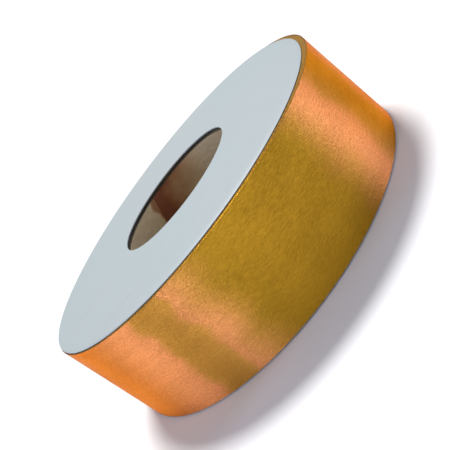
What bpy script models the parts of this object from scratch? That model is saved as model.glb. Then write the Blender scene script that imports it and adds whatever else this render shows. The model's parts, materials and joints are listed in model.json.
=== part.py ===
"""Copper foil tape roll for stained glass work, built as its separate layers and pieces.

Frame: metres, +Z up along the roll's axis. The roll lies flat, and the origin is at the centre of its
underside. Angles are measured round +Z from +X, and the tape is wound anticlockwise towards its free end.
"""

import math

import bmesh
import bpy

MM = 0.001

# Edges that turn more than this, in degrees, are shaded sharp.
SHARP_ANGLE = 35.0

# Facets in a full turn. Every round piece shares them, so the thin gaps between layers stay even.
FACETS = 72
STEP_ANGLE = 360.0 / FACETS

# Overall sizes of the roll
ROLL_DIAMETER = 66.8 * MM
TAPE_WIDTH = 19.05 * MM
CORE_BORE_DIAMETER = 26.0 * MM

# The spiral-wound paperboard core, from the bore outwards
INNER_PLY = 0.50 * MM
BODY_PLY = 0.75 * MM
OUTER_PLY = 0.45 * MM
PLY_GAP = 0.05 * MM
CORE_RECESS = 0.60 * MM
SEAM_WIDTH = 0.30 * MM
SEAM_OVERCUT = 0.30 * MM
SEAM_OVERRUN = 1.0 * MM
SEAM_LEAN = 45.0
SEAM_FIRST_ANGLE = 40.0

# The patch that fastens the start of the tape to the core
START_PATCH_THICKNESS = 0.10 * MM
START_PATCH_MARGIN = 1.5 * MM
START_PATCH_ARC = 40.0
START_PATCH_ANGLE = 150.0
START_PATCH_GAP = 0.05 * MM

# The layers of the tape, and the gap under each one
LINER = 0.06 * MM
ADHESIVE = 0.04 * MM
FOIL = 0.08 * MM
LAYER_GAP = 0.03 * MM

# The free end of the tape, cut into short lengths that swing outwards one after the other
FREE_END_STEP = 30
TAIL_LENGTHS = 6
TAIL_STEPS_EACH = 3
BUTT_GAP = 0.20 * MM

# The side discs
DISC_THICKNESS = 0.25 * MM
DISC_SEAT_GAP = 0.05 * MM
DISC_RIM = 0.50 * MM
DISC_BORE_CLEARANCE = 0.10 * MM

# Worked out from the sizes above
ROLL_RADIUS = ROLL_DIAMETER / 2
BORE_RADIUS = CORE_BORE_DIAMETER / 2
TAPE_BOTTOM = DISC_THICKNESS + DISC_SEAT_GAP
TAPE_TOP = TAPE_BOTTOM + TAPE_WIDTH
CORE_BOTTOM = TAPE_BOTTOM + CORE_RECESS
CORE_TOP = TAPE_TOP - CORE_RECESS
CORE_RADIUS = BORE_RADIUS + INNER_PLY + 2 * BODY_PLY + OUTER_PLY + 3 * PLY_GAP
PACK_INNER_RADIUS = CORE_RADIUS + 2 * START_PATCH_GAP + START_PATCH_THICKNESS
TURN_PITCH = LINER + ADHESIVE + FOIL + 3 * LAYER_GAP
DISC_RADIUS = ROLL_RADIUS - DISC_RIM
FREE_END_ANGLE = FREE_END_STEP * STEP_ANGLE
TAIL_ARC = TAIL_STEPS_EACH * STEP_ANGLE
TAIL_START_TURN = 360.0 - TAIL_LENGTHS * TAIL_ARC
BUTT_HALF_ANGLE = math.degrees(BUTT_GAP / 2 / ROLL_RADIUS)

# Finish of each material: colour, roughness, metallic
FINISHES = {
    "satin_copper_foil": ((0.66, 0.33, 0.07, 1.0), 0.30, 1.0),
    "wound_foil_edges": ((0.62, 0.32, 0.12, 1.0), 0.45, 0.8),
    "clear_adhesive": ((0.80, 0.74, 0.60, 1.0), 0.20, 0.0),
    "release_liner": ((0.86, 0.82, 0.72, 1.0), 0.55, 0.0),
    "kraft_inner_ply": ((0.26, 0.19, 0.12, 1.0), 0.85, 0.0),
    "grey_body_ply": ((0.30, 0.26, 0.20, 1.0), 0.90, 0.0),
    "kraft_outer_ply": ((0.34, 0.24, 0.14, 1.0), 0.80, 0.0),
    "start_patch_film": ((0.75, 0.70, 0.52, 1.0), 0.35, 0.0),
    "pale_disc_card": ((0.60, 0.67, 0.70, 1.0), 0.50, 0.0),
}


def clear_scene():
    for obj in list(bpy.data.objects):
        bpy.data.objects.remove(obj, do_unlink=True)


def finish(name):
    """The material of this name, made the first time it is asked for."""
    material = bpy.data.materials.get(name)
    if material is None:
        colour, roughness, metallic = FINISHES[name]
        material = bpy.data.materials.new(name)
        material.use_nodes = True
        shader = material.node_tree.nodes["Principled BSDF"]
        shader.inputs["Base Color"].default_value = colour
        shader.inputs["Roughness"].default_value = roughness
        shader.inputs["Metallic"].default_value = metallic
        material.diffuse_color = colour
    return material


def polar(radius, angle, z=0.0):
    """The point at this radius and angle in degrees."""
    turned = math.radians(angle)
    return (radius * math.cos(turned), radius * math.sin(turned), z)


def facet_angles(start, end):
    """Angles from start to end, with a stop at every facet edge between them."""
    inner = range(math.floor(start / STEP_ANGLE) + 1, math.ceil(end / STEP_ANGLE))
    return [start] + [index * STEP_ANGLE for index in inner] + [end]


def facet_radius(radius, angle):
    """The radius of a faceted round at this angle, where its corners lie at the given radius."""
    off_corner = math.fmod(angle, STEP_ANGLE)
    half = math.radians(STEP_ANGLE / 2)
    return radius * math.cos(half) / math.cos(math.radians(off_corner) - half)


def swept_wall(name, angles, inner, outer, bottom, top, origin=(0.0, 0.0, 0.0), whole=False):
    """A wall between two radii, swept through the angles: a ring when whole, or else an open arc.

    inner and outer give the radius at an angle, and the mesh is built about the origin given.
    """
    mesh = bmesh.new()
    sections = []
    for angle in angles:
        near = inner(angle)
        far = outer(angle)
        corners = (
            polar(near, angle, bottom),
            polar(far, angle, bottom),
            polar(far, angle, top),
            polar(near, angle, top),
        )
        sections.append([mesh.verts.new([c - o for c, o in zip(corner, origin)]) for corner in corners])
    pairs = list(zip(sections, sections[1:]))
    if whole:
        pairs.append((sections[-1], sections[0]))
    else:
        mesh.faces.new(sections[0])
        mesh.faces.new(sections[-1][::-1])
    for here, there in pairs:
        for side in range(4):
            after = (side + 1) % 4
            mesh.faces.new((here[side], there[side], there[after], here[after]))
    bmesh.ops.recalc_face_normals(mesh, faces=mesh.faces)
    data = bpy.data.meshes.new(name)
    mesh.to_mesh(data)
    mesh.free()
    data.shade_smooth()
    data.set_sharp_from_angle(angle=math.radians(SHARP_ANGLE))
    return data


def place(name, data, finish_name, location=(0.0, 0.0, 0.0), parent=None):
    obj = bpy.data.objects.new(name, data)
    obj.location = location
    obj.parent = parent
    data.materials.append(finish(finish_name))
    bpy.context.collection.objects.link(obj)
    return obj


def pivot(name, location, parent=None):
    """An empty on a joint's axis."""
    empty = bpy.data.objects.new(name, None)
    empty.empty_display_size = 5 * MM
    empty.location = location
    empty.parent = parent
    bpy.context.collection.objects.link(empty)
    return empty


def full_ring(name, inner, outer, bottom, top):
    angles = [index * STEP_ANGLE for index in range(FACETS)]
    return swept_wall(name, angles, lambda angle: inner, lambda angle: outer, bottom, top, whole=True)


def seam_cutter(name, radius, wall, start_angle):
    """A thin leaning blade that opens the butt seam of one spiral-wound ply.

    The seam leans away from upright as it climbs, so it runs part of the way round.
    """
    lean = math.radians(SEAM_LEAN)
    inner = radius - SEAM_OVERCUT
    outer = radius + wall + SEAM_OVERCUT
    low = CORE_BOTTOM - SEAM_OVERRUN
    high = CORE_TOP + SEAM_OVERRUN
    run = math.degrees((high - low) * math.tan(lean) / radius)
    half_width = math.degrees(SEAM_WIDTH / 2 / math.cos(lean) / radius)
    count = math.ceil(run / STEP_ANGLE)
    mesh = bmesh.new()
    rows = []
    for index in range(count + 1):
        share = index / count
        middle = start_angle + run * share
        z = low + (high - low) * share
        corners = (
            polar(inner, middle - half_width, z),
            polar(outer, middle - half_width, z),
            polar(outer, middle + half_width, z),
            polar(inner, middle + half_width, z),
        )
        rows.append([mesh.verts.new(corner) for corner in corners])
    mesh.faces.new(rows[0])
    mesh.faces.new(rows[-1][::-1])
    for here, there in zip(rows, rows[1:]):
        for side in range(4):
            after = (side + 1) % 4
            mesh.faces.new((here[side], there[side], there[after], here[after]))
    bmesh.ops.recalc_face_normals(mesh, faces=mesh.faces)
    data = bpy.data.meshes.new(name)
    mesh.to_mesh(data)
    mesh.free()
    cutter = bpy.data.objects.new(name, data)
    cutter.hide_render = True
    cutter.display_type = "WIRE"
    bpy.context.collection.objects.link(cutter)
    return cutter


def build_core():
    """Four plies of board, each a strip wound in a helix whose edges meet in a leaning butt seam."""
    plies = (
        ("core_inner_ply", INNER_PLY, "kraft_inner_ply"),
        ("core_body_ply_inner", BODY_PLY, "grey_body_ply"),
        ("core_body_ply_outer", BODY_PLY, "grey_body_ply"),
        ("core_outer_ply", OUTER_PLY, "kraft_outer_ply"),
    )
    radius = BORE_RADIUS
    for index, (name, wall, finish_name) in enumerate(plies):
        ring = full_ring(name, radius, radius + wall, CORE_BOTTOM, CORE_TOP)
        ply = place(name, ring, finish_name)
        seam = ply.modifiers.new("butt_seam", "BOOLEAN")
        seam.operation = "DIFFERENCE"
        seam.solver = "EXACT"
        # The seams of neighbouring plies are spread evenly round the core.
        seam_angle = SEAM_FIRST_ANGLE + index * 360.0 / len(plies)
        seam.object = seam_cutter("cut_" + name, radius, wall, seam_angle)
        radius += wall + PLY_GAP


def build_start_patch():
    """The double-sided patch between the core and the first turn."""
    inner = CORE_RADIUS + START_PATCH_GAP
    outer = inner + START_PATCH_THICKNESS
    angles = facet_angles(START_PATCH_ANGLE - START_PATCH_ARC / 2, START_PATCH_ANGLE + START_PATCH_ARC / 2)
    data = swept_wall(
        "tape_start_patch",
        angles,
        lambda angle: facet_radius(inner, angle),
        lambda angle: facet_radius(outer, angle),
        CORE_BOTTOM + START_PATCH_MARGIN,
        CORE_TOP - START_PATCH_MARGIN,
    )
    place("tape_start_patch", data, "start_patch_film")


def pack_radius(turn):
    """Outer radius of the inner turns, at this many degrees past the start of the outermost turn.

    It grows by one turn's pitch in a full turn, and the outermost turn lies on it.
    """
    return ROLL_RADIUS - 2 * TURN_PITCH + TURN_PITCH * turn / 360.0


def build_wound_tape():
    """The inner turns as one body, with the step from which the outermost turn comes out."""
    angles = [FREE_END_ANGLE + turn for turn in facet_angles(0.0, 360.0 - BUTT_HALF_ANGLE)]
    data = swept_wall(
        "wound_tape",
        angles,
        lambda angle: facet_radius(PACK_INNER_RADIUS, angle),
        lambda angle: facet_radius(pack_radius(angle - FREE_END_ANGLE), angle),
        TAPE_BOTTOM,
        TAPE_TOP,
        whole=True,
    )
    place("wound_tape", data, "wound_foil_edges")


def layer_bounds(layer):
    """The heights of a layer's two faces above the turn below, and its finish."""
    liner = (LAYER_GAP, LAYER_GAP + LINER)
    adhesive = (liner[1] + LAYER_GAP, liner[1] + LAYER_GAP + ADHESIVE)
    foil = (adhesive[1] + LAYER_GAP, adhesive[1] + LAYER_GAP + FOIL)
    return {
        "liner": (liner, "release_liner"),
        "adhesive": (adhesive, "clear_adhesive"),
        "foil": (foil, "satin_copper_foil"),
    }[layer]


def strip(name, layer, turn_start, turn_end, origin, parent=None):
    """One layer of the outermost turn, between two angles counted from where that turn starts."""
    (low, high), finish_name = layer_bounds(layer)
    turns = facet_angles(turn_start + BUTT_HALF_ANGLE, turn_end - BUTT_HALF_ANGLE)
    data = swept_wall(
        name,
        [FREE_END_ANGLE + turn for turn in turns],
        lambda angle: facet_radius(pack_radius(angle - FREE_END_ANGLE) + low, angle),
        lambda angle: facet_radius(pack_radius(angle - FREE_END_ANGLE) + high, angle),
        TAPE_BOTTOM,
        TAPE_TOP,
        origin,
    )
    return place(name, data, finish_name, parent=parent)


def build_outer_turn():
    """The part of the outermost turn that stays down: foil over adhesive over liner."""
    for layer in ("liner", "adhesive", "foil"):
        strip("outer_turn_" + layer, layer, 0.0, TAIL_START_TURN, (0.0, 0.0, 0.0))


def hinge_point(turn, height):
    """A point on the mid height of the tape, at this angle from the start of the outermost turn."""
    angle = FREE_END_ANGLE + turn
    return polar(pack_radius(turn) + height, angle, (TAPE_BOTTOM + TAPE_TOP) / 2)


def build_free_end():
    """The last part of the outermost turn, in short lengths on a chain of pivots along its outside."""
    foil_outside = layer_bounds("foil")[0][1]
    liner_inside = layer_bounds("liner")[0][0]
    parent = None
    parent_point = (0.0, 0.0, 0.0)
    for index in range(TAIL_LENGTHS):
        number = str(index + 1)
        start = TAIL_START_TURN + index * TAIL_ARC
        end = start + TAIL_ARC
        point = hinge_point(start, foil_outside)
        if index == TAIL_LENGTHS - 1:
            # The liner's last length hangs on the same parent, so that it can part from the foil.
            corner = hinge_point(start, liner_inside)
            local = [c - p for c, p in zip(corner, parent_point)]
            liner_pivot = pivot("liner_pivot", local, parent)
            strip("free_end_liner_" + number, "liner", start, end, corner, liner_pivot)
        local = [c - p for c, p in zip(point, parent_point)]
        parent = pivot("free_end_pivot_" + number, local, parent)
        parent_point = point
        layers = ("adhesive", "foil") if index == TAIL_LENGTHS - 1 else ("liner", "adhesive", "foil")
        for layer in layers:
            strip("free_end_" + layer + "_" + number, layer, start, end, point, parent)


def build_side_discs():
    """The pale card disc on each side, which keeps the edges of the sticky turns apart."""
    hole = BORE_RADIUS + DISC_BORE_CLEARANCE
    for name, bottom in (("far_side_disc", 0.0), ("near_side_disc", TAPE_TOP + DISC_SEAT_GAP)):
        data = full_ring(name, hole, DISC_RADIUS, 0.0, DISC_THICKNESS)
        place(name, data, "pale_disc_card", (0.0, 0.0, bottom))


def main():
    clear_scene()
    build_core()
    build_start_patch()
    build_wound_tape()
    build_outer_turn()
    build_free_end()
    build_side_discs()


if __name__ == "__main__":
    main()
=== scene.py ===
"""Copper foil tape roll: the fine meshes, finishes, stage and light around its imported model.

The roll lies flat on the floor with its axis along +Z. Sizes are in metres. Angles are in degrees, measured
round +Z from +X, and the tape is wound anticlockwise towards its free end.
"""

import json
import math

import bmesh
import bpy
import numpy as np
from bpy.props import FloatProperty, FloatVectorProperty, IntProperty, PointerProperty
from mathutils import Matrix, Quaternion, Vector, noise


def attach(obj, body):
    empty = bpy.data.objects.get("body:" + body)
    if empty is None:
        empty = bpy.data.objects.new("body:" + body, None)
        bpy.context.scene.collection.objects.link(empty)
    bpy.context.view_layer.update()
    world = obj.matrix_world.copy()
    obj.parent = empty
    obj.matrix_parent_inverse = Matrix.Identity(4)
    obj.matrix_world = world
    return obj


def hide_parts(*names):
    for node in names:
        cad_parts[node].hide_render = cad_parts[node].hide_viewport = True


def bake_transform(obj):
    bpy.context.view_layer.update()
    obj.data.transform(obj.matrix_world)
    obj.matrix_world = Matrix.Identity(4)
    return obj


bl_info = {
    "name": "Copper foil tape roll",
    "version": (1, 0, 0),
    "blender": (4, 5, 0),
    "location": "View3D > Sidebar > Tape Roll",
    "description": "Builds a roll of copper foil tape: core, wound turns, free end, side discs and studio",
    "category": "Object",
}

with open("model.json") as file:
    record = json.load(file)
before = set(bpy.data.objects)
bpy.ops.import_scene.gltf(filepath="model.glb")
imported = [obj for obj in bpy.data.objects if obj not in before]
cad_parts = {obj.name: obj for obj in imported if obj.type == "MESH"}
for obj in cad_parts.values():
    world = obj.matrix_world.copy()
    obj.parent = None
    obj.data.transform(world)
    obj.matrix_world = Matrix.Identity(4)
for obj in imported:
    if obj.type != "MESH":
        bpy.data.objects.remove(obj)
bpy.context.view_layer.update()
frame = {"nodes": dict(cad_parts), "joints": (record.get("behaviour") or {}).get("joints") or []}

MM = 0.001
FULL_TURN = 360.0

# Edges that turn more than this are shaded sharp.
SHARP_ANGLE = math.radians(35.0)

# The UV map of every strip: along the strip and across it, in metres
STRIP_UV = "strip"


# ---------------------------------------------------------------- what the frame says


def ring_sizes(node):
    """Inner and outer radius, bottom and top of a round CAD node."""
    points = np.array([vertex.co for vertex in frame["nodes"][node].data.vertices])
    inner, outer = np.percentile(np.hypot(points[:, 0], points[:, 1]), (25, 75))
    return float(inner), float(outer), float(points[:, 2].min()), float(points[:, 2].max())


def bearing(point):
    """Angle of a point round the axis, in degrees."""
    return math.degrees(math.atan2(point.y, point.x))


PIVOTS = {joint["name"]: Vector(joint["pos_m"]) for joint in frame["joints"] if joint["type"] == "hinge"}
LENGTHS = sum(name.startswith("free_end_peel_") for name in PIVOTS)
PEELS = [PIVOTS[f"free_end_peel_{number}"] for number in range(1, LENGTHS + 1)]

# The free end is cut into lengths of this arc, and its edge lies at FREE_EDGE.
LENGTH_ARC = bearing(PEELS[1]) - bearing(PEELS[0])
TAIL_START = bearing(PEELS[0])
FREE_EDGE = TAIL_START + LENGTHS * LENGTH_ARC
TURN_START = FREE_EDGE - FULL_TURN

# The outer face of the tape is a spiral that grows by one pitch in a full turn.
PITCH = (PEELS[-1].xy.length - PEELS[0].xy.length) * FULL_TURN / (bearing(PEELS[-1]) - TAIL_START)

PACK_INSIDE, _, TAPE_BOTTOM, TAPE_TOP = ring_sizes("wound_tape")
TAPE_WIDTH = TAPE_TOP - TAPE_BOTTOM
TAPE_MIDDLE = (TAPE_BOTTOM + TAPE_TOP) / 2


def face_radius(angle):
    """Radius of the foil's outer face. Each turn further in lies a full turn lower in angle."""
    return PEELS[0].xy.length + PITCH * (angle - TAIL_START) / FULL_TURN


# Whole turns under the outermost one, down to the patch that starts the tape
INNER_TURNS = math.floor((face_radius(TURN_START) - PITCH - PACK_INSIDE) / PITCH)


# ---------------------------------------------------------------- sizes and colours


def length_property(name, description, default):
    return FloatProperty(name=name, description=description, default=default, unit="LENGTH", precision=5)


class TapeSizes(bpy.types.PropertyGroup):
    foil: length_property("Foil", "Thickness of the copper foil", 0.10 * MM)
    adhesive: length_property("Adhesive", "Thickness of the sticky backing", 0.05 * MM)
    liner: length_property("Liner", "Thickness of the release liner", 0.07 * MM)
    gap: length_property("Gap", "Space between two layers", 0.012 * MM)
    liner_shy: length_property(
        "Liner shy", "How far the liner and the adhesive stop short of the foil's edges", 0.02 * MM
    )
    waviness: length_property(
        "Waviness", "How deep the outermost turn dips between its high spots", 0.010 * MM
    )
    wander: length_property(
        "Wander", "How far the inner turns wander sideways as they are wound", 0.02 * MM
    )
    steps: IntProperty(
        name="Steps", description="Steps in a full turn of the outermost turn", default=720, min=72
    )
    inner_steps: IntProperty(
        name="Inner steps", description="Steps in a full inner turn", default=96, min=48
    )


class CoreSizes(bpy.types.PropertyGroup):
    seam: length_property("Seam", "Width of each ply's seam, before the slant widens it", 0.08 * MM)
    seam_bottom: FloatProperty(
        name="Seam foot",
        description="Where the inner ply's seam leaves the bottom",
        default=math.radians(143.6),
        subtype="ANGLE",
    )
    seam_climb: FloatProperty(
        name="Seam climb",
        description="How far round the seam runs on its way up, negative for clockwise",
        default=math.radians(-36.6),
        subtype="ANGLE",
    )
    cockle: length_property("Cockle", "How uneven the board's faces are", 0.03 * MM)


class DiscSizes(bpy.types.PropertyGroup):
    edge: length_property("Edge round", "Radius of the cut edges", 0.07 * MM)
    shift: length_property(
        "Shift", "How far the outer edge was cut inwards on its short side", 0.80 * MM
    )
    overhang: length_property(
        "Overhang", "How far the outer edge reaches out on its long side", 0.20 * MM
    )
    dip: length_property("Dip", "How far the card dips from flat", 0.02 * MM)
    press: length_property(
        "Press", "How far the rim was pressed thinner, most on the short side", 0.16 * MM
    )
    press_width: length_property("Press width", "Width of the pressed rim", 1.6 * MM)


def colour_property(name, description, default):
    return FloatVectorProperty(
        name=name, description=description, default=default, size=3, min=0.0, max=1.0, subtype="COLOR"
    )


class RollColours(bpy.types.PropertyGroup):
    copper: colour_property("Copper", "Bright copper foil", (0.86, 0.33, 0.11))
    # The ochre is dulled tone on the back of the roll and painted shade on the arcs facing the camera.
    ochre: colour_property("Ochre", "Copper foil where it has dulled to ochre", (0.50, 0.272, 0.022))
    sheen: colour_property("Sheen", "The foil's colour at a grazing angle", (0.97, 0.53, 0.29))
    edge: colour_property("Cut edge", "Freshly slit edge of the foil", (0.42, 0.20, 0.02))
    adhesive: colour_property("Adhesive", "Edge of the sticky backing", (0.20, 0.105, 0.012))
    liner: colour_property("Liner", "Release liner of brown glassine paper", (0.22, 0.12, 0.014))
    kraft: colour_property("Kraft", "Paper of the core's inner and outer ply", (0.43, 0.34, 0.205))
    # These two colours are painted shade: the dark patch and its tan fringe on the core's inner wall stand in
    # for shade inside the bore.
    painted_shade: colour_property("Glue stain", "Kraft paper darkened by glue beside a seam", (0.137, 0.032, 0.005))
    painted_shade_fringe: colour_property("Glue halo", "Kraft paper tanned by the glue round the stain", (0.34, 0.17, 0.045))
    board: colour_property("Board", "Grey board of the core's body", (0.24, 0.20, 0.15))
    patch: colour_property("Patch", "Film that starts the tape", (0.80, 0.76, 0.62))
    card: colour_property("Card", "Pale card of the side discs", (0.36, 0.42, 0.43))
    floor: colour_property("Floor", "The floor and backdrop", (0.86, 0.86, 0.86))


class StudioSettings(bpy.types.PropertyGroup):
    place: FloatVectorProperty(
        name="Camera",
        description="Where the camera stands",
        default=(0.0, -0.127601, 0.047108),
        subtype="TRANSLATION",
    )
    aim: FloatVectorProperty(
        name="Aim",
        description="The point that the camera looks at",
        default=(0.000216, 0.0, 0.008082),
        subtype="TRANSLATION",
    )
    roll: FloatProperty(
        name="Roll",
        description="How far the camera is tipped clockwise",
        default=math.radians(53.1),
        subtype="ANGLE",
    )
    lens: FloatProperty(name="Lens", description="Focal length in millimetres", default=60.14, min=1.0)
    ambient: FloatProperty(
        name="Ambient", description="Strength of the light from all round", default=0.24, min=0.0
    )


# ---------------------------------------------------------------- node and mesh helpers


def add_node(tree, kind, inputs=None, **settings):
    """Adds a node. Each input is set to a value, or joined to another node's output."""
    made = tree.nodes.new(kind)
    for key, value in settings.items():
        setattr(made, key, value)
    for key, value in (inputs or {}).items():
        socket = made.inputs[key]
        if isinstance(value, bpy.types.NodeSocket):
            tree.links.new(value, socket)
        else:
            socket.default_value = value
    return made


def maths(tree, operation, *values):
    """The output of a Math node with these inputs."""
    return add_node(tree, "ShaderNodeMath", dict(enumerate(values)), operation=operation).outputs[0]


def vector_maths(tree, operation, *values):
    return add_node(tree, "ShaderNodeVectorMath", dict(enumerate(values)), operation=operation).outputs[0]


def put(obj_name, mesh):
    """An object at the origin that holds this mesh."""
    mesh.name = obj_name
    obj = bpy.data.objects.new(obj_name, mesh)
    bpy.context.scene.collection.objects.link(obj)
    return obj


def smooth(mesh):
    mesh.shade_smooth()
    mesh.set_sharp_from_angle(angle=SHARP_ANGLE)


# ---------------------------------------------------------------- the strip that everything is wound from

# How quickly the inner turns wander, along the tape
WANDER_SCALE = 14.0

STRIP_INPUTS = (
    ("Turns", "NodeSocketFloat", 1.0),
    ("Steps per Turn", "NodeSocketInt", 96),
    ("Start Radius", "NodeSocketFloat", 0.03),
    ("End Radius", "NodeSocketFloat", 0.03),
    ("Start Angle", "NodeSocketFloat", 0.0),
    ("Thickness", "NodeSocketFloat", 0.0001),
    ("Width", "NodeSocketFloat", 0.019),
    ("Cuts Across", "NodeSocketInt", 0),
    ("Middle Height", "NodeSocketFloat", 0.01),
    ("Lean", "NodeSocketFloat", 0.0),
    ("Waviness", "NodeSocketFloat", 0.0),
    ("Wave Scale", "NodeSocketFloat", 90.0),
    ("Wander", "NodeSocketFloat", 0.0),
    ("Start Length", "NodeSocketFloat", 0.0),
    ("Finish", "NodeSocketMaterial", None),
)


def strip_tree():
    """A flat strip swept along a spiral round the axis, with its UV map.

    Lean turns each height by that many radians a metre, so a strip's ends become a leaning seam.
    """
    tree = bpy.data.node_groups.get("swept_strip")
    if tree is not None:
        return tree
    tree = bpy.data.node_groups.new("swept_strip", "GeometryNodeTree")
    for name, kind, default in STRIP_INPUTS:
        socket = tree.interface.new_socket(name, in_out="INPUT", socket_type=kind)
        if default is not None:
            socket.default_value = default
    tree.interface.new_socket("Geometry", in_out="OUTPUT", socket_type="NodeSocketGeometry")
    given = tree.nodes.new("NodeGroupInput").outputs

    # The path, with its length kept for the UV map
    spiral = add_node(
        tree,
        "GeometryNodeCurveSpiral",
        {
            "Resolution": given["Steps per Turn"],
            "Rotations": given["Turns"],
            "Start Radius": given["Start Radius"],
            "End Radius": given["End Radius"],
            "Height": 0.0,
            "Reverse": True,
        },
    )
    parameter = tree.nodes.new("GeometryNodeSplineParameter")
    path = tree.nodes.new("GeometryNodeCaptureAttribute")
    path.capture_items.new("FLOAT", "Length")
    tree.links.new(spiral.outputs[0], path.inputs["Geometry"])
    tree.links.new(parameter.outputs["Length"], path.inputs["Length"])

    # Each turn is laid a little to one side of the last.
    drift = add_node(
        tree,
        "ShaderNodeTexNoise",
        {"W": maths(tree, "MULTIPLY", path.outputs["Length"], WANDER_SCALE), "Scale": 1.0, "Detail": 2.0},
        noise_dimensions="1D",
    )
    sideways = maths(tree, "MULTIPLY", maths(tree, "SUBTRACT", drift.outputs[0], 0.5), given["Wander"])
    laid = add_node(
        tree,
        "GeometryNodeSetPosition",
        {
            "Geometry": path.outputs["Geometry"],
            "Offset": add_node(tree, "ShaderNodeCombineXYZ", {"Z": sideways}).outputs[0],
        },
    )
    placed = add_node(
        tree,
        "GeometryNodeTransform",
        {
            "Geometry": laid.outputs[0],
            "Translation": add_node(tree, "ShaderNodeCombineXYZ", {"Z": given["Middle Height"]}).outputs[0],
            "Rotation": add_node(tree, "ShaderNodeCombineXYZ", {"Z": given["Start Angle"]}).outputs[0],
        },
    )

    # The section, with its own coordinates kept for the UV map
    section = add_node(
        tree,
        "GeometryNodeCurvePrimitiveQuadrilateral",
        {"Width": given["Thickness"], "Height": given["Width"]},
    )
    divided = add_node(
        tree, "GeometryNodeSubdivideCurve", {"Curve": section.outputs[0], "Cuts": given["Cuts Across"]}
    )
    profile = tree.nodes.new("GeometryNodeCaptureAttribute")
    profile.capture_items.new("VECTOR", "Place")
    tree.links.new(divided.outputs[0], profile.inputs["Geometry"])
    tree.links.new(tree.nodes.new("GeometryNodeInputPosition").outputs[0], profile.inputs["Place"])
    swept = add_node(
        tree,
        "GeometryNodeCurveToMesh",
        {"Curve": placed.outputs[0], "Profile Curve": profile.outputs["Geometry"], "Fill Caps": True},
    )

    # The lean of a ply's seam
    position = tree.nodes.new("GeometryNodeInputPosition").outputs[0]
    height = add_node(tree, "ShaderNodeSeparateXYZ", {0: position}).outputs["Z"]
    turned = add_node(
        tree,
        "ShaderNodeVectorRotate",
        {
            "Vector": position,
            "Angle": maths(
                tree, "MULTIPLY", maths(tree, "SUBTRACT", height, given["Middle Height"]), given["Lean"]
            ),
        },
        rotation_type="Z_AXIS",
    )
    leaning = add_node(
        tree, "GeometryNodeSetPosition", {"Geometry": swept.outputs[0], "Position": turned.outputs[0]}
    )

    # Dips between high spots, always towards the axis
    position = tree.nodes.new("GeometryNodeInputPosition").outputs[0]
    dips = add_node(
        tree,
        "ShaderNodeTexNoise",
        {"Vector": position, "Scale": given["Wave Scale"], "Detail": 1.0},
    )
    outwards = vector_maths(tree, "NORMALIZE", vector_maths(tree, "MULTIPLY", position, (1.0, 1.0, 0.0)))
    depth = maths(tree, "MULTIPLY", maths(tree, "MULTIPLY", dips.outputs[0], given["Waviness"]), -1.0)
    waved = add_node(
        tree,
        "GeometryNodeSetPosition",
        {
            "Geometry": leaning.outputs[0],
            "Offset": add_node(
                tree, "ShaderNodeVectorMath", {0: outwards, "Scale": depth}, operation="SCALE"
            ).outputs[0],
        },
    )

    # The UV map. Adding the section's own depth keeps it open on the strip's narrow edges and ends.
    place = add_node(tree, "ShaderNodeSeparateXYZ", {0: profile.outputs["Place"]})
    along = maths(
        tree,
        "ADD",
        maths(tree, "ADD", path.outputs["Length"], given["Start Length"]),
        place.outputs["X"],
    )
    across = maths(tree, "ADD", place.outputs["X"], place.outputs["Y"])
    mapped = add_node(
        tree,
        "GeometryNodeStoreNamedAttribute",
        {"Geometry": waved.outputs[0], "Name": STRIP_UV},
        data_type="FLOAT2",
        domain="CORNER",
    )
    tree.links.new(
        add_node(tree, "ShaderNodeCombineXYZ", {"X": along, "Y": across}).outputs[0], mapped.inputs["Value"]
    )
    real = add_node(tree, "GeometryNodeRealizeInstances", {"Geometry": mapped.outputs[0]})
    coated = add_node(
        tree, "GeometryNodeSetMaterial", {"Geometry": real.outputs[0], "Material": given["Finish"]}
    )
    add_node(tree, "NodeGroupOutput", {0: coated.outputs[0]})
    return tree


def strip_piece(name, finish, **values):
    """A plain mesh made by the strip tree. The values are its inputs, with _ for a space."""
    tree = strip_tree()
    obj = put(name, bpy.data.meshes.new(name))
    modifier = obj.modifiers.new("strip", "NODES")
    modifier.node_group = tree
    wanted = {key.replace("_", " "): value for key, value in values.items()}
    wanted["Finish"] = finish
    for socket in tree.interface.items_tree:
        if socket.in_out == "INPUT" and socket.name in wanted:
            modifier[socket.identifier] = wanted.pop(socket.name)
    if wanted:
        raise KeyError(f"the strip has no inputs named {sorted(wanted)}")
    depsgraph = bpy.context.evaluated_depsgraph_get()
    mesh = bpy.data.meshes.new_from_object(obj.evaluated_get(depsgraph))
    obj.modifiers.remove(modifier)
    obj.data = mesh
    mesh.name = name
    smooth(mesh)
    return obj


# ---------------------------------------------------------------- finishes


def new_finish(name):
    """A material with an empty shader, its tree and the shader."""
    material = bpy.data.materials.new(name)
    material.use_nodes = True
    return material, material.node_tree, material.node_tree.nodes["Principled BSDF"]


def pattern(tree, coordinates, scale, detail=2.0, roughness=0.5):
    """Noise on these coordinates, with its scale given for each of the three directions."""
    scaled = vector_maths(tree, "MULTIPLY", coordinates, scale)
    return add_node(
        tree, "ShaderNodeTexNoise", {"Vector": scaled, "Scale": 1.0, "Detail": detail, "Roughness": roughness}
    ).outputs[0]


def span(tree, value, low, high, to_low=0.0, to_high=1.0):
    """The value carried smoothly from one range to another, and held at its ends."""
    return add_node(
        tree,
        "ShaderNodeMapRange",
        {"Value": value, "From Min": low, "From Max": high, "To Min": to_low, "To Max": to_high},
        interpolation_type="SMOOTHSTEP",
    ).outputs[0]


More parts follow.
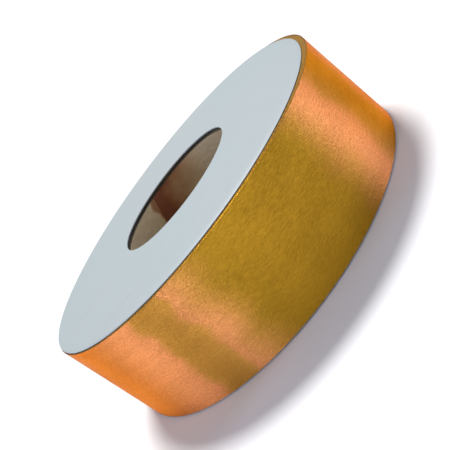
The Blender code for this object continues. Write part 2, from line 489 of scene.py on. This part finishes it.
def mix(tree, factor, first, second, blend="MIX"):
    """A mix of two colours, where each is a socket or an RGB triple."""
    made = tree.nodes.new("ShaderNodeMix")
    made.data_type = "RGBA"
    made.blend_type = blend
    for socket, value in ((made.inputs[0], factor), (made.inputs[6], first), (made.inputs[7], second)):
        if isinstance(value, bpy.types.NodeSocket):
            tree.links.new(value, socket)
        elif isinstance(value, (int, float)):
            socket.default_value = value
        else:
            socket.default_value = (*value, 1.0)
    return made.outputs[2]


def bump(tree, height, distance, strength=1.0, under=None):
    inputs = {"Height": height, "Distance": distance, "Strength": strength}
    if under is not None:
        inputs["Normal"] = under
    return add_node(tree, "ShaderNodeBump", inputs).outputs[0]


def strip_coordinates(tree):
    return add_node(tree, "ShaderNodeUVMap", uv_map=STRIP_UV).outputs[0]


def object_coordinates(tree):
    return tree.nodes.new("ShaderNodeTexCoord").outputs["Object"]


def finished(name):
    """The finish of this name, made the first time it is asked for."""
    return bpy.data.materials.get(name) or FINISHES[name](name)


# Arcs of the outermost turn painted ochre: middle, half width, and how far ochre from 0 to 1. The three that
# face the camera (-83, -36, -119) are painted shade where the foil's reflection falls dim; the others are
# dulled tone.
OCHRE_SHADE_AND_DULL_ARCS = (
    (-83.0, 27.0, 1.0),
    (-36.0, 9.0, 0.55),
    (-119.0, 6.0, 0.7),
    (28.0, 30.0, 0.8),
    (104.0, 20.0, 0.9),
    (165.0, 22.0, 0.7),
)


# An arc is fully ochre within the first share of its half width, and copper again beyond the second.
FULLY_OCHRE = 0.55
FULLY_COPPER = 1.25


def ochre_shade_and_dull(tree, along, ripple):
    """How far the foil is painted ochre at this length along the outermost turn, from 0 to 1: painted shade
    on the arcs facing the camera, dulled tone on the others.
    """
    degree = math.radians(1.0) * face_radius(TAIL_START)
    total = 0.0
    for middle, half, weight in OCHRE_SHADE_AND_DULL_ARCS:
        centre = (middle - TURN_START) % FULL_TURN * degree
        away = maths(tree, "ABSOLUTE", maths(tree, "SUBTRACT", maths(tree, "ADD", along, ripple), centre))
        share = span(tree, away, half * FULLY_OCHRE * degree, half * FULLY_COPPER * degree, weight, 0.0)
        total = maths(tree, "MAXIMUM", share, total)
    return total


# How far the edges of the ochre arcs stray, and how deep the foil's grain and hairlines are
ARC_RIPPLE = 1.3 * MM
GRAIN_RELIEF = 0.06 * MM
HAIRLINE_RELIEF = 0.03 * MM


def copper_foil(name):
    """Rolled copper: short hairlines along the strip, fine glitter, and ochre arcs, which are painted shade
    where the reflection falls dim on the side facing the camera and dulled foil elsewhere.
    """
    colours = bpy.context.scene.roll_colours
    material, tree, shader = new_finish(name)
    strip = strip_coordinates(tree)
    along = add_node(tree, "ShaderNodeSeparateXYZ", {0: strip}).outputs["X"]
    hairlines = pattern(tree, strip, (900.0, 3400.0, 1.0), 3.0, 0.7)
    streaks = pattern(tree, strip, (30.0, 900.0, 1.0))
    patches = pattern(tree, strip, (110.0, 160.0, 1.0), 3.0)
    grain = pattern(tree, strip, (3000.0, 3600.0, 1.0), 2.0, 0.8)
    ripple = span(tree, patches, 0.25, 0.75, -ARC_RIPPLE, ARC_RIPPLE)
    ochre_share = ochre_shade_and_dull(tree, along, ripple)
    # Painted shade: on the arcs facing the camera the ochre darkens the foil where its reflection falls dim;
    # on the back arcs it is dulled tone.
    metal = mix(tree, ochre_share, tuple(colours.copper), tuple(colours.ochre))
    lined = mix(tree, span(tree, hairlines, 0.35, 0.65, 0.0, 0.22), metal, (0.62, 0.60, 0.58), "MULTIPLY")
    shaded = mix(tree, span(tree, streaks, 0.4, 0.7, 0.0, 0.15), lined, (0.62, 0.60, 0.56), "MULTIPLY")
    mottled = mix(tree, span(tree, patches, 0.35, 0.65, 0.0, 0.14), shaded, (0.7, 0.68, 0.62), "MULTIPLY")
    # The glitter is fainter where the foil is painted ochre, as painted shade or as dulled tone.
    brightness = maths(tree, "MULTIPLY_ADD", ochre_share, -0.35, 0.55)
    speckle = maths(tree, "MULTIPLY", span(tree, grain, 0.38, 0.62), brightness)
    grained = mix(tree, speckle, mottled, (0.66, 0.62, 0.56), "MULTIPLY")
    tree.links.new(grained, shader.inputs["Base Color"])
    rough = maths(
        tree,
        "ADD",
        span(tree, hairlines, 0.3, 0.7, 0.36, 0.46),
        span(tree, patches, 0.35, 0.65, -0.02, 0.03),
    )
    tree.links.new(rough, shader.inputs["Roughness"])
    glitter = bump(tree, grain, GRAIN_RELIEF)
    tree.links.new(bump(tree, hairlines, HAIRLINE_RELIEF, under=glitter), shader.inputs["Normal"])
    shader.inputs["Metallic"].default_value = 1.0
    shader.inputs["Specular Tint"].default_value = (*colours.sheen, 1.0)
    # The gloss is stretched up the wall, across the hairlines.
    shader.inputs["Anisotropic"].default_value = 0.95
    shader.inputs["Anisotropic Rotation"].default_value = 0.25
    tangent = add_node(tree, "ShaderNodeTangent", direction_type="UV_MAP", uv_map=STRIP_UV)
    tree.links.new(tangent.outputs[0], shader.inputs["Tangent"])
    return material


def slit_copper(name):
    """The slit edges of the inner turns: copper, with a burr here and there."""
    colours = bpy.context.scene.roll_colours
    material, tree, shader = new_finish(name)
    place = object_coordinates(tree)
    burrs = pattern(tree, place, (2600.0, 2600.0, 2600.0), 2.0)
    tone = mix(tree, span(tree, burrs, 0.35, 0.65), tuple(colours.edge), tuple(colours.ochre))
    tree.links.new(tone, shader.inputs["Base Color"])
    tree.links.new(span(tree, burrs, 0.3, 0.7, 0.32, 0.5), shader.inputs["Roughness"])
    tree.links.new(bump(tree, burrs, 0.00002), shader.inputs["Normal"])
    shader.inputs["Metallic"].default_value = 1.0
    shader.inputs["Specular Tint"].default_value = (*colours.edge, 1.0)
    return material


# How far the grain of plain stock changes its roughness, each way
GLOSS_SPREAD = 0.06


def plain_stock(name, colour, roughness, grain_scale, contrast=0.12, relief=0.00001, metallic=0.0):
    """Paper, board, film or adhesive: one tone with a grain in its colour, gloss and surface."""
    material, tree, shader = new_finish(name)
    place = object_coordinates(tree)
    grain = pattern(tree, place, (grain_scale,) * 3, 4.0, 0.6)
    clouds = pattern(tree, place, (grain_scale / 12,) * 3, 2.0)
    darker = tuple(channel * (1.0 - contrast) for channel in colour)
    lighter = tuple(min(1.0, channel * (1.0 + contrast)) for channel in colour)
    tone = mix(tree, span(tree, grain, 0.3, 0.7), darker, lighter)
    toned = mix(tree, span(tree, clouds, 0.35, 0.65, 0.0, contrast), tone, darker)
    tree.links.new(toned, shader.inputs["Base Color"])
    gloss = span(tree, grain, 0.3, 0.7, roughness - GLOSS_SPREAD, roughness + GLOSS_SPREAD)
    tree.links.new(gloss, shader.inputs["Roughness"])
    tree.links.new(bump(tree, grain, relief), shader.inputs["Normal"])
    shader.inputs["Metallic"].default_value = metallic
    return material


def sticky_backing(name):
    return plain_stock(name, tuple(bpy.context.scene.roll_colours.adhesive), 0.7, 900.0, 0.15, 0.000008)


def release_liner(name):
    return plain_stock(name, tuple(bpy.context.scene.roll_colours.liner), 0.8, 1500.0, 0.08, 0.000006)


def grey_board(name):
    return plain_stock(name, tuple(bpy.context.scene.roll_colours.board), 0.85, 1400.0, 0.3, 0.00004)


def start_film(name):
    return plain_stock(name, tuple(bpy.context.scene.roll_colours.patch), 0.3, 700.0, 0.06, 0.000006)


# Shares of a ply's girth: where its painted shade begins, where it is full, and how far it reaches past the
# seam
SHADE_BEGINS = 0.833
SHADE_FULL = 0.989
SHADE_PAST_SEAM = 0.014
SHADE_WOBBLE = 1.2 * MM


def kraft_ply(name):
    """Kraft paper: long fibres, and painted shade: a dark patch with a tan fringe that fades away from the
    seam and reaches over it, standing in for the shade inside the core.
    """
    colours = bpy.context.scene.roll_colours
    material, tree, shader = new_finish(name)
    strip = strip_coordinates(tree)
    along = add_node(tree, "ShaderNodeSeparateXYZ", {0: strip}).outputs["X"]
    fibres = pattern(tree, strip, (500.0, 1500.0, 1.0), 5.0, 0.65)
    clouds = pattern(tree, strip, (120.0, 160.0, 1.0), 3.0)
    girth = math.tau * ring_sizes("core_inner_ply")[0]
    wobble = span(tree, clouds, 0.3, 0.7, -SHADE_WOBBLE, SHADE_WOBBLE)
    reach = maths(tree, "ADD", along, wobble)
    past_seam = span(tree, reach, 0.0, girth * SHADE_PAST_SEAM, 0.8, 0.0)
    fading = span(tree, reach, girth * SHADE_BEGINS, girth * SHADE_FULL)
    shade_share = maths(tree, "MAXIMUM", fading, past_seam)
    shade_weight = maths(tree, "MULTIPLY", shade_share, span(tree, clouds, 0.2, 0.5, 0.85, 1.0))
    pale = mix(
        tree,
        span(tree, fibres, 0.3, 0.7),
        tuple(channel * 0.86 for channel in colours.kraft),
        tuple(channel * 1.1 for channel in colours.kraft),
    )
    # Painted shade: the tan fringe and the dark patch beside the seam stand in for shade on the core's inner
    # wall.
    fringed = mix(tree, shade_weight, pale, tuple(colours.painted_shade_fringe))
    toned = mix(tree, maths(tree, "MULTIPLY", shade_weight, shade_weight), fringed, tuple(colours.painted_shade))
    tree.links.new(toned, shader.inputs["Base Color"])
    tree.links.new(span(tree, fibres, 0.3, 0.7, 0.72, 0.9), shader.inputs["Roughness"])
    tree.links.new(bump(tree, fibres, 0.00004), shader.inputs["Normal"])
    return material


def disc_card(name):
    """Smooth pale card with a faint tooth and a few long soft streaks."""
    colours = bpy.context.scene.roll_colours
    material, tree, shader = new_finish(name)
    place = object_coordinates(tree)
    tooth = pattern(tree, place, (2200.0, 2200.0, 2200.0), 3.0)
    streaks = pattern(tree, place, (60.0, 420.0, 60.0), 3.0)
    clouds = pattern(tree, place, (40.0, 40.0, 40.0), 2.0)
    card = tuple(colours.card)
    warmer = (card[0] * 1.03, card[1] * 0.99, card[2] * 0.985)
    tone = mix(tree, span(tree, clouds, 0.35, 0.65), card, warmer)
    streaked = mix(
        tree, span(tree, streaks, 0.52, 0.75, 0.0, 0.25), tone, tuple(channel * 0.9 for channel in card)
    )
    toothed = mix(
        tree, span(tree, tooth, 0.35, 0.65, 0.0, 0.10), streaked, tuple(channel * 0.85 for channel in card)
    )
    tree.links.new(toothed, shader.inputs["Base Color"])
    tree.links.new(span(tree, tooth, 0.3, 0.7, 0.42, 0.55), shader.inputs["Roughness"])
    tree.links.new(bump(tree, tooth, 0.000006), shader.inputs["Normal"])
    return material


def pale_floor(name):
    colours = bpy.context.scene.roll_colours
    material, tree, shader = new_finish(name)
    shader.inputs["Base Color"].default_value = (*colours.floor, 1.0)
    shader.inputs["Roughness"].default_value = 0.9
    shader.inputs["Specular IOR Level"].default_value = 0.0
    return material


FINISHES = {
    "copper_foil_face": copper_foil,
    "slit_copper_edges": slit_copper,
    "sticky_backing": sticky_backing,
    "release_liner_paper": release_liner,
    "kraft_ply_paper": kraft_ply,
    "grey_ply_board": grey_board,
    "start_patch_film": start_film,
    "disc_card_pale": disc_card,
    "studio_floor": pale_floor,
}


# ---------------------------------------------------------------- operators


def direction(azimuth, elevation):
    """The unit vector towards this azimuth and elevation, in degrees."""
    level = math.cos(math.radians(elevation))
    turned = math.radians(azimuth)
    return Vector((level * math.cos(turned), level * math.sin(turned), math.sin(math.radians(elevation))))


# The strips' cool light and the other boxes' white light
COOL = (1.0, 1.1, 1.6)
WHITE = (1.0, 1.0, 1.0)

# Soft boxes round the roll: name, azimuth, elevation, width, height, brightness and tint
SOFT_BOXES = (
    ("right_strip", -7.0, 11.0, 0.12, 0.30, 4.9, COOL),
    ("left_strip", -132.0, 11.0, 0.06, 0.30, 8.6, COOL),
    ("far_left_strip", -176.0, 11.0, 0.20, 0.30, 2.5, COOL),
    ("front_fill", -80.0, 9.0, 0.75, 0.16, 1.8, WHITE),
    ("rear_right", 40.0, 11.0, 0.16, 0.30, 1.3, WHITE),
    ("rear_left", 144.0, 11.0, 0.16, 0.30, 1.5, WHITE),
)
BOX_DISTANCE = 0.50

# The broad light from above and behind, as azimuth, elevation, spread and strength
SKY_LIGHT = (84.0, 58.0, 14.0, 3.5)

FLOOR_RADIUS = 6.0
FLOOR_SIDES = 96


class BuildOperator:
    """What the operators share."""

    bl_options = {"REGISTER", "UNDO"}


class TAPEROLL_OT_studio(BuildOperator, bpy.types.Operator):
    """Make the camera, the floor and the soft boxes"""

    bl_idname = "taperoll.studio"
    bl_label = "Studio"

    def execute(self, context):
        self.make_camera(context.scene)
        self.make_floor()
        for box in SOFT_BOXES:
            self.make_soft_box(*box)
        self.make_sky_light(*SKY_LIGHT)
        self.make_world(context.scene)
        context.scene.view_settings.view_transform = "Standard"
        return {"FINISHED"}

    def make_camera(self, scene):
        studio = scene.studio_settings
        data = bpy.data.cameras.new("camera")
        data.lens = studio.lens
        data.clip_start = 5 * MM
        camera = bpy.data.objects.new("camera", data)
        scene.collection.objects.link(camera)
        facing = (studio.aim - studio.place).to_track_quat("-Z", "Y")
        camera.rotation_mode = "QUATERNION"
        camera.rotation_quaternion = facing @ Quaternion((0.0, 0.0, 1.0), -studio.roll)
        camera.location = studio.place
        scene.camera = camera

    def make_floor(self):
        mesh = bmesh.new()
        bmesh.ops.create_circle(mesh, cap_ends=True, segments=FLOOR_SIDES, radius=FLOOR_RADIUS)
        data = bpy.data.meshes.new("studio_floor")
        mesh.to_mesh(data)
        mesh.free()
        data.materials.append(finished("studio_floor"))
        put("studio_floor", data)

    def make_sky_light(self, azimuth, elevation, spread, strength):
        data = bpy.data.lights.new("sky_light", "SUN")
        data.energy = strength
        data.angle = math.radians(spread)
        light = bpy.data.objects.new("sky_light", data)
        bpy.context.scene.collection.objects.link(light)
        light.rotation_euler = direction(azimuth, elevation).to_track_quat("Z", "Y").to_euler()

    def make_soft_box(self, name, azimuth, elevation, width, height, brightness, tint):
        data = bpy.data.lights.new(name, "AREA")
        data.shape = "RECTANGLE"
        data.size = width
        data.size_y = height
        data.energy = brightness * math.pi * width * height
        data.color = tint
        light = bpy.data.objects.new(name, data)
        bpy.context.scene.collection.objects.link(light)
        towards = direction(azimuth, elevation)
        light.location = towards * BOX_DISTANCE + Vector((0.0, 0.0, TAPE_MIDDLE))
        light.rotation_euler = towards.to_track_quat("Z", "Y").to_euler()
        light.visible_camera = False

    def make_world(self, scene):
        world = bpy.data.worlds.new("studio_light")
        world.use_nodes = True
        tree = world.node_tree
        lit = tree.nodes["Background"]
        lit.inputs["Color"].default_value = (1.0, 1.0, 1.0, 1.0)
        lit.inputs["Strength"].default_value = scene.studio_settings.ambient
        # The backdrop looks white beyond the floor, whatever light it gives.
        seen = add_node(tree, "ShaderNodeBackground", {"Color": (1.0, 1.0, 1.0, 1.0), "Strength": 1.0})
        path = tree.nodes.new("ShaderNodeLightPath")
        both = add_node(
            tree,
            "ShaderNodeMixShader",
            {0: path.outputs["Is Camera Ray"], 1: lit.outputs[0], 2: seen.outputs[0]},
        )
        tree.links.new(both.outputs[0], tree.nodes["World Output"].inputs["Surface"])
        scene.world = world


# Steps round a ply and cuts across it, and the size of its cockles as a noise scale
PLY_STEPS = 240
PLY_CUTS = 9
PLY_WAVE_SCALE = 220.0

# Widens the gap round a ply as a seam that leans 45 degrees would need. The seam here leans less.
SEAM_SLANT = math.sqrt(2)

# Cuts across the outermost turn
TAPE_CUTS = 7


class TAPEROLL_OT_core(BuildOperator, bpy.types.Operator):
    """Wind the four plies of the board core"""

    bl_idname = "taperoll.core"
    bl_label = "Core plies"

    # Each ply with its finish and the record's slot
    plies = (
        ("core_inner_ply", "kraft_ply_paper", "kraft_board"),
        ("core_body_ply_inner", "grey_ply_board", "grey_board"),
        ("core_body_ply_outer", "grey_ply_board", "grey_board"),
        ("core_outer_ply", "kraft_ply_paper", "kraft_board"),
    )

    def execute(self, context):
        sizes = context.scene.core_sizes
        for index, (node, finish, slot) in enumerate(self.plies):
            inner, outer, bottom, top = ring_sizes(node)
            middle = (inner + outer) / 2
            gap = sizes.seam / middle * SEAM_SLANT
            seam = sizes.seam_bottom + sizes.seam_climb / 2 + index * math.tau / len(self.plies)
            ply = strip_piece(
                "fine_" + node,
                finished(finish),
                Turns=(math.tau - gap) / math.tau,
                Steps_per_Turn=PLY_STEPS,
                Start_Radius=middle,
                End_Radius=middle,
                Start_Angle=seam + gap / 2,
                Thickness=outer - inner,
                Width=top - bottom,
                Cuts_Across=PLY_CUTS,
                Middle_Height=(bottom + top) / 2,
                Lean=sizes.seam_climb / (top - bottom),
                Waviness=sizes.cockle,
                Wave_Scale=PLY_WAVE_SCALE,
            )
            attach(ply, "root")
            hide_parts(node)
        return {"FINISHED"}


def layer_depths(sizes):
    """Each layer's name, finish, slot, and the depth of its outer and inner face under the foil's face."""
    foil = (0.0, sizes.foil)
    adhesive = (foil[1] + sizes.gap, foil[1] + sizes.gap + sizes.adhesive)
    liner = (adhesive[1] + sizes.gap, adhesive[1] + sizes.gap + sizes.liner)
    return (
        ("foil", "copper_foil_face", "copper_foil", foil),
        ("adhesive", "sticky_backing", "adhesive", adhesive),
        ("liner", "release_liner_paper", "release_liner", liner),
    )


def strip_arc(name, layer, start, end, steps, cuts, sizes, **more):
    """One layer of the tape between two angles of its spiral."""
    label, finish, _, (outer, inner) = layer
    middle = (outer + inner) / 2
    shy = 0.0 if label == "foil" else 2 * sizes.liner_shy
    return strip_piece(
        name,
        finished(more.pop("finish", finish)),
        Turns=(end - start) / FULL_TURN,
        Steps_per_Turn=steps,
        Start_Radius=face_radius(start) - middle,
        End_Radius=face_radius(end) - middle,
        Start_Angle=math.radians(start),
        Thickness=inner - outer,
        Width=TAPE_WIDTH - shy,
        Cuts_Across=cuts,
        Middle_Height=TAPE_MIDDLE,
        Start_Length=math.radians(start - TURN_START) * face_radius(TAIL_START),
        **more,
    )


class TAPEROLL_OT_inner_turns(BuildOperator, bpy.types.Operator):
    """Wind the inner turns of foil, adhesive and liner"""

    bl_idname = "taperoll.inner_turns"
    bl_label = "Inner turns"

    def execute(self, context):
        sizes = context.scene.tape_sizes
        start = TURN_START - INNER_TURNS * FULL_TURN
        for layer in layer_depths(sizes):
            label, finish, slot, _ = layer
            finish = "slit_copper_edges" if label == "foil" else finish
            turns = strip_arc(
                "wound_" + label,
                layer,
                start,
                TURN_START,
                sizes.inner_steps,
                0,
                sizes,
                finish=finish,
                Wander=sizes.wander,
            )
            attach(turns, "root")
            if label == "foil":
                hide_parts("wound_tape")
        return {"FINISHED"}


class TAPEROLL_OT_outer_turn(BuildOperator, bpy.types.Operator):
    """Lay the part of the outermost turn that stays down"""

    bl_idname = "taperoll.outer_turn"
    bl_label = "Outer turn"

    def execute(self, context):
        sizes = context.scene.tape_sizes
        for layer in layer_depths(sizes):
            label, _, slot, _ = layer
            turn = strip_arc(
                "outer_" + label,
                layer,
                TURN_START,
                TAIL_START - LENGTH_ARC / 2,
                sizes.steps,
                TAPE_CUTS,
                sizes,
                Waviness=sizes.waviness,
            )
            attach(turn, "root")
            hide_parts("outer_turn_" + label)
        return {"FINISHED"}


class TAPEROLL_OT_free_end(BuildOperator, bpy.types.Operator):
    """Lay the free end in pieces, each centred on a hinge"""

    bl_idname = "taperoll.free_end"
    bl_label = "Free end"

    def execute(self, context):
        sizes = context.scene.tape_sizes
        for layer in layer_depths(sizes):
            label, _, slot, _ = layer
            bodies = ["root"] + [f"free_end_{number}" for number in range(1, LENGTHS + 1)]
            if label == "liner":
                bodies[-1] = "liner_end"
            # Each piece spans a hinge, from the middle of one length to the middle of the next.
            for number in range(1, LENGTHS + 1):
                hinge = TAIL_START + (number - 1) * LENGTH_ARC
                start = hinge - LENGTH_ARC / 2
                end = hinge + LENGTH_ARC / 2
                bend_start = start
                if number == LENGTHS:
                    # Here the liner parts from the foil, and the piece runs on to the free edge.
                    bend_start, end = hinge, FREE_EDGE
                bend = self.piece(f"free_{label}_bend_{number}", layer, start, end, sizes)
                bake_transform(bend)
                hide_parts(f"free_end_{label}_{number}")
        return {"FINISHED"}

    def piece(self, name, layer, start, end, sizes):
        return strip_arc(name, layer, start, end, sizes.steps, TAPE_CUTS, sizes, Waviness=sizes.waviness)

    def point(self, angle):
        turned = math.radians(angle)
        radius = face_radius(angle)
        return (radius * math.cos(turned), radius * math.sin(turned), TAPE_MIDDLE)


class TAPEROLL_OT_start_patch(BuildOperator, bpy.types.Operator):
    """Finish the patch that fastens the tape's start to the core"""

    bl_idname = "taperoll.start_patch"
    bl_label = "Start patch"

    def execute(self, context):
        patch = frame["nodes"]["tape_start_patch"]
        patch.data.materials.clear()
        patch.data.materials.append(finished("start_patch_film"))
        return {"FINISHED"}


class TAPEROLL_OT_side_discs(BuildOperator, bpy.types.Operator):
    """Turn the two card discs with their rounded edges"""

    bl_idname = "taperoll.side_discs"
    bl_label = "Side discs"

    steps = 360
    rings = 32
    corner_steps = 3

    # The dips' noise scale, and the scale that gives each disc its own dips
    dip_scale = 60
    dip_seed = 100

    # Each disc with its body, the middle of its short side, and how far that runs clockwise and anticlockwise
    discs = (
        ("near_side_disc", "near_disc", -25.0, (180.0, 75.0)),
        ("far_side_disc", "far_disc", -90.0, (180.0, 180.0)),
    )

    def execute(self, context):
        sizes = context.scene.disc_sizes
        for node, body, middle, reaches in self.discs:
            disc = put("fine_" + node, self.make_disc(node, middle, reaches, sizes))
            disc.data.materials.append(finished("disc_card_pale"))
            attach(disc, body)
            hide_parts(node)
        return {"FINISHED"}

    def profile(self, inner, outer, bottom, top, edge):
        """The section of the disc, anticlockwise as radius and height, with its corners rounded."""
        points = []
        corners = (
            (inner + edge, bottom + edge, 180.0),
            (outer - edge, bottom + edge, 270.0),
            (outer - edge, top - edge, 0.0),
            (inner + edge, top - edge, 90.0),
        )
        for index, (x, z, start) in enumerate(corners):
            for step in range(self.corner_steps + 1):
                angle = math.radians(start + 90.0 * step / self.corner_steps)
                points.append((x + edge * math.cos(angle), z + edge * math.sin(angle)))
            if index in (0, 2):
                next_x = corners[(index + 1) % 4][0]
                level = points[-1][1]
                points += [(x + (next_x - x) * ring / self.rings, level) for ring in range(1, self.rings)]
        return points

    def shortness(self, angle, middle, reaches):
        """1 in the middle of the short side, falling to 0 at its two ends. All in degrees."""
        away = (angle - middle + FULL_TURN / 2) % FULL_TURN - FULL_TURN / 2
        share = min(1.0, abs(away) / reaches[0 if away < 0 else 1])
        return 0.5 + 0.5 * math.cos(math.pi * share)

    def make_disc(self, node, middle, reaches, sizes):
        inner, outer, bottom, top = ring_sizes(node)
        outwards = 1 if node == "near_side_disc" else -1
        section = self.profile(inner, outer, bottom, top, sizes.edge)
        mesh = bmesh.new()
        columns = []
        for step in range(self.steps):
            angle = math.tau * step / self.steps
            short = self.shortness(math.degrees(angle), middle, reaches)
            column = []
            for radius, height in section:
                share = (radius - inner) / (outer - inner)
                reach = radius + share * (sizes.overhang - (sizes.overhang + sizes.shift) * short)
                spot = Vector((reach * math.cos(angle), reach * math.sin(angle), height))
                sample = Vector((spot.x * self.dip_scale, spot.y * self.dip_scale, bottom * self.dip_seed))
                dip = sizes.dip * (0.5 + 0.5 * noise.noise(sample))
                spot.z -= outwards * max(0.0, dip) * share * (1 - share) * 4
                # Only the outward face of the rim is pressed in.
                depth = (height - bottom if outwards == 1 else top - height) / (top - bottom)
                near_rim = max(0.0, 1 - (outer - radius) / sizes.press_width)
                spot.z -= outwards * sizes.press * near_rim ** 2 * depth * short
                column.append(mesh.verts.new(spot))
            columns.append(column)
        for here, there in zip(columns, columns[1:] + columns[:1]):
            for low in range(len(section)):
                high = (low + 1) % len(section)
                mesh.faces.new((here[low], there[low], there[high], here[high]))
        bmesh.ops.recalc_face_normals(mesh, faces=mesh.faces)
        data = bpy.data.meshes.new(node)
        mesh.to_mesh(data)
        mesh.free()
        smooth(data)
        return data


class TAPEROLL_PT_build(bpy.types.Panel):
    """The roll's sizes and colours, and the pieces in the order they are built"""

    bl_idname = "TAPEROLL_PT_build"
    bl_label = "Copper foil tape roll"
    bl_space_type = "VIEW_3D"
    bl_region_type = "UI"
    bl_category = "Tape Roll"

    def draw(self, context):
        for group in GROUPS:
            settings = getattr(context.scene, group)
            column = self.layout.column(align=True)
            column.label(text=group.replace("_", " ").capitalize())
            for name in settings.bl_rna.properties.keys():
                if name not in ("rna_type", "name"):
                    column.prop(settings, name)
        for operator in OPERATORS:
            self.layout.operator(operator.bl_idname)


GROUPS = {
    "tape_sizes": TapeSizes,
    "core_sizes": CoreSizes,
    "disc_sizes": DiscSizes,
    "roll_colours": RollColours,
    "studio_settings": StudioSettings,
}

OPERATORS = (
    TAPEROLL_OT_studio,
    TAPEROLL_OT_core,
    TAPEROLL_OT_start_patch,
    TAPEROLL_OT_inner_turns,
    TAPEROLL_OT_outer_turn,
    TAPEROLL_OT_free_end,
    TAPEROLL_OT_side_discs,
)


def register():
    for item in (*GROUPS.values(), *OPERATORS, TAPEROLL_PT_build):
        bpy.utils.register_class(item)
    for name, group in GROUPS.items():
        setattr(bpy.types.Scene, name, PointerProperty(type=group))


def unregister():
    for name in GROUPS:
        delattr(bpy.types.Scene, name)
    for item in reversed((*GROUPS.values(), *OPERATORS, TAPEROLL_PT_build)):
        bpy.utils.unregister_class(item)


def main():
    register()
    for operator in OPERATORS:
        family, action = operator.bl_idname.split(".")
        getattr(getattr(bpy.ops, family), action)()


if __name__ == "__main__":
    main()
